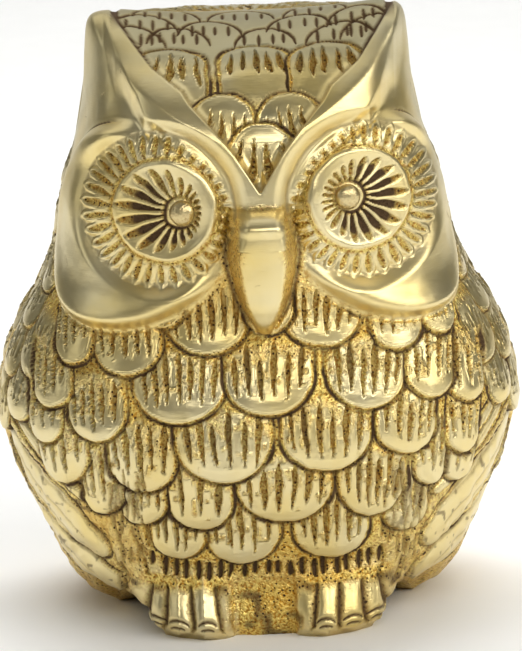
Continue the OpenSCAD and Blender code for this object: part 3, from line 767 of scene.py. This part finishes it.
cast_brass = brass("cast_brass", (0.79, 0.68, 0.39), (0.80, 0.63, 0.25), (0.78, 0.47, 0.08), 0.29)
front_piece.data.materials.append(cast_brass)
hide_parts("front_casting")
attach(front_piece, "root")


# Back casting: the other half of the mould, with the folded wings, the back of the head and a
# short tail, chased and polished like the front and soldered to it all round.
back_turns = steps((90, 270, 0.6))
back_climbs = np.concatenate([steps((0, SIDE_TOP, 0.42)) / SIDE_TOP,
                              1 + steps((0.9, 45, 0.9), (45, 89.4, 0.75)) / 90])
turn, climb = np.meshgrid(np.where(back_turns > 180, back_turns - 360, back_turns), back_climbs)
bx, by, bz = skin(turn, climb)
plain_x, plain_y, plain_z = skin(turn, climb, plain=True)
run = np.hypot(np.diff(plain_x, axis=1), np.diff(plain_y, axis=1))
behind = np.concatenate([np.zeros((len(back_climbs), 1)), np.cumsum(run, axis=1)], axis=1)
behind = behind - behind[:, [len(back_turns) // 2]]      # distance round from the middle of the back
drop = plain_z + np.clip(24 - plain_y, 0, None)
back = Chasing(bx.shape, 5)
back.proud[:] = -0.4
back.matt[:] = 1
wide = behind + 0.3 * patches(behind, plain_z, 8, 61)
tall_b = drop + 0.3 * patches(behind, plain_z, 8, 62)
# Tail, then the folded wings and their coverts, then the scallops up the back
for place in (-8, 0, 8):
    back.feather(wide, tall_b, (place, 3.5 + 0.024 * place * place), 90, 8, 26, 3, lift=0.8)
for way in (-1, 1):
    for tip_s, tip_z, width, length, slope_up in ((14, 6, 9, 60, 36), (12, 13, 8.5, 60, 38),
                                                  (13, 21, 8.5, 58, 40), (16, 29, 8, 50, 42)):
        heading = slope_up if way > 0 else 180 - slope_up
        back.feather(wide, tall_b, (way * tip_s, tip_z), heading, width, length, 0, lift=1)
    for k, tip_z in enumerate(np.arange(32, 96, 6.5)):
        for place in np.arange(66 - 4 * (k % 2), max(46 - 3.4 * k, 33), -8.4):
            back.feather(wide, tall_b, (way * place, tip_z - 0.12 * (66 - place)), 90 - way * 12,
                         back.random.uniform(9.5, 11), 13, 5, lift=0.8)
for k, row in enumerate(range(30, 126, 8)):
    for place in np.arange(-4, 5) * 9.6 + (4.8 if k % 2 else 0):
        if abs(place) < min(30, 0.9 * row - 14):
            spot = place + back.random.uniform(-0.6, 0.6), row + back.random.uniform(-0.8, 0.8)
            back.feather(wide, tall_b, spot, 90, back.random.uniform(10, 11.5), 13, 5, lift=0.8)
# The sides of the head run on smooth from the tufts.
bare = ramp(76, 78, plain_z + 0.6 * patches(behind, plain_z, 2, 64)) * ramp(32, 33.5, np.abs(behind))
back.proud, back.matt, back.soot_and_shade = (field * (1 - bare) for field in (back.proud, back.matt, back.soot_and_shade))
quiet = ramp(90.5, 94.5, np.abs(turn))
on_crown = ramp(96, 104, plain_z) * 0.5
back.proud = back.proud * quiet * (1 - on_crown)
# The top of the back of the head is marked for a rougher finish and a painted grey shade.
back.dull_and_shade = 0.7 * ramp(94, 102, plain_z)
sunk = blurred(back.proud, 3) - back.proud
back_sunk, back_edge = np.clip(sunk / 0.4, 0, 1), np.clip(-sunk / 0.3, 0, 1)
back.proud += -0.1 * back.matt * patches(behind, plain_z, 0.8, 63) * quiet
low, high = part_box("back_casting")
back_points = displaced(bx, by, bz, back.proud)
back_scale = ((high[0] - low[0]) / np.ptp(bx), (high[1] - low[1]) / by.max(), front_scale[2])
back_middle = (low[0] + high[0]) / 2 - back_scale[0] * (bx.max() + bx.min()) / 2
back_piece = half_shell("chased_back", back_points, back_turns, back, back_sunk, back_edge,
                        lambda p: p * back_scale + [back_middle, low[1], 0])
back_piece.data.materials.append(cast_brass)
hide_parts("back_casting")
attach(back_piece, "root")


# Solder in the joint: a thin film of hard solder, a little paler than the brass, filed flush.
solder = brass("hard_solder", (0.74, 0.66, 0.46), (0.78, 0.68, 0.42), (0.60, 0.42, 0.16), 0.3)
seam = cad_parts["seam_solder"]
seam.data.materials.clear()
seam.data.materials.append(solder)


# Pupils: turned brass studs with domed heads, pushed through the wall of the front and peened
# over inside. Years of polishing have flattened the domes a little.
turned = brass("turned_brass", (0.70, 0.58, 0.32), (0.62, 0.49, 0.24), (0.6, 0.38, 0.1), 0.26)
for name, pupil in (("left_pupil", PUPILS[0]), ("right_pupil", PUPILS[1])):
    low, high = (Vector(c) * 1000 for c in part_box(name))
    splay = math.radians(14)
    axis = Vector((math.copysign(math.sin(splay), pupil[0]), -math.cos(splay), 0))
    # lathe the stud: distance along its axis from the tip of the dome, and radius
    outline = [(0.02, 0.25), (0.08, 0.7), (0.24, 1.15), (0.5, 1.6), (0.85, 1.95), (1.25, 2.15), (1.7, 2.2),
               (1.8, 2.1), (1.82, 1.3), (5.4, 1.3), (5.5, 1.15)]
    count = 40
    across = axis.cross(Vector((0, 0, 1))).normalized()
    head_tip = Vector((low[0] if pupil[0] < 0 else high[0], low[1], (low[2] + high[2]) / 2))
    head_tip = head_tip - Vector((math.copysign(2.2 * math.cos(splay), pupil[0]), 0, 0))
    points = [head_tip]
    for depth, radius in outline:
        for k in range(count):
            a = 2 * math.pi * k / count
            wobble = 1 + 0.012 * math.sin(3 * a + 1)
            outward = across * math.cos(a) + Vector((0, 0, math.sin(a)))
            points.append(head_tip - axis * depth + outward * radius * wobble)
    points.append(head_tip - axis * 5.5)
    faces = [(0, 1 + (k + 1) % count, 1 + k) for k in range(count)]
    for j in range(len(outline) - 1):
        for k in range(count):
            here, beside = 1 + j * count + k, 1 + j * count + (k + 1) % count
            faces.append((here, beside, beside + count, here + count))
    end = 1 + (len(outline) - 1) * count
    faces += [(end + k, end + (k + 1) % count, len(points) - 1) for k in range(count)]
    mesh = bpy.data.meshes.new("stud_" + name)
    mesh.from_pydata([tuple(p / 1000) for p in points], [], faces)
    mesh.polygons.foreach_set("use_smooth", [True] * len(faces))
    for label, amount in (("matt", 0.25), ("soot_and_shade", 0.1), ("edge", 0), ("dull_and_shade", 0)):
        layer = mesh.attributes.new(label, "FLOAT", "POINT")
        layer.data.foreach_set("value", [amount] * len(points))
    mesh.materials.append(turned)
    stud = bpy.data.objects.new("stud_" + name, mesh)
    bpy.context.collection.objects.link(stud)
    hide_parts(name)
    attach(stud, "root")


# Studio: a pale seamless sweep of matt paper under and behind the owl, one broad soft light
# above the camera, one from each side with the right brighter, one over the crown, and one
# behind that lights only the paper.
sweep = bpy.data.meshes.new("sweep")
path = [(-1.6, 0), (0.9, 0), (1.2, 0.04), (1.45, 0.16), (1.6, 0.4), (1.65, 0.8), (1.65, 2.2)]
sweep.from_pydata([(sx, py, pz) for py, pz in path for sx in (-2.2, 2.2)], [],
                  [(2 * k, 2 * k + 1, 2 * k + 3, 2 * k + 2) for k in range(len(path) - 1)])
paper = bpy.data.materials.new("paper")
paper.use_nodes = True
tree = paper.node_tree
tree.nodes.clear()
begin = Wire(tree)
fibre = begin.node("ShaderNodeTexNoise", None, {
    "Vector": begin.node("ShaderNodeTexCoord", out=3), "Scale": 60.0})
sheet = begin.node("ShaderNodeBsdfPrincipled", None, {
    "Base Color": fibre.blend((0.90, 0.90, 0.89, 1), (0.93, 0.93, 0.92, 1)),
    "Roughness": 1.0, "Specular IOR Level": 0.0})
tree.nodes.new("ShaderNodeOutputMaterial")
tree.links.new(sheet.socket, tree.nodes["Material Output"].inputs[0])
sweep.materials.append(paper)
floor = bpy.data.objects.new("sweep", sweep)
bpy.context.collection.objects.link(floor)
bpy.context.scene.view_settings.view_transform = "Standard"

for name, place, size, power, tint in (
        ("above", (0.3, -0.85, 0.7), (1.3, 0.5), 5.6, (1, 0.98, 0.95)),
        ("left", (-1.1, -0.35, 0.6), (0.5, 0.8), 1.0, (0.96, 0.98, 1)),
        ("right", (1.0, -0.5, 0.6), (0.6, 0.8), 4.2, (1, 0.98, 0.95)),
        ("over", (0.0, 0.5, 1.3), (2.2, 1.0), 5, (1, 1, 1)),
        ("behind", (0.0, 0.75, 1.5), (1.6, 0.6), 20, (1, 1, 1))):
    lamp = bpy.data.lights.new(name, "AREA")
    lamp.shape, lamp.size, lamp.size_y, lamp.energy, lamp.color = "RECTANGLE", *size, power, tint
    holder = bpy.data.objects.new(name, lamp)
    bpy.context.collection.objects.link(holder)
    holder.location = place
    aim = Vector((0, 0, 0.05)) - holder.location
    holder.rotation_euler = aim.to_track_quat("-Z", "Y").to_euler()
    holder.visible_glossy = name != "behind"      # it only lights the paper
world = bpy.data.worlds.new("room")
bpy.context.scene.world = world
world.use_nodes = True
world.node_tree.nodes["Background"].inputs[0].default_value = (0.72, 0.72, 0.68, 1)
world.node_tree.nodes["Background"].inputs[1].default_value = 0.2
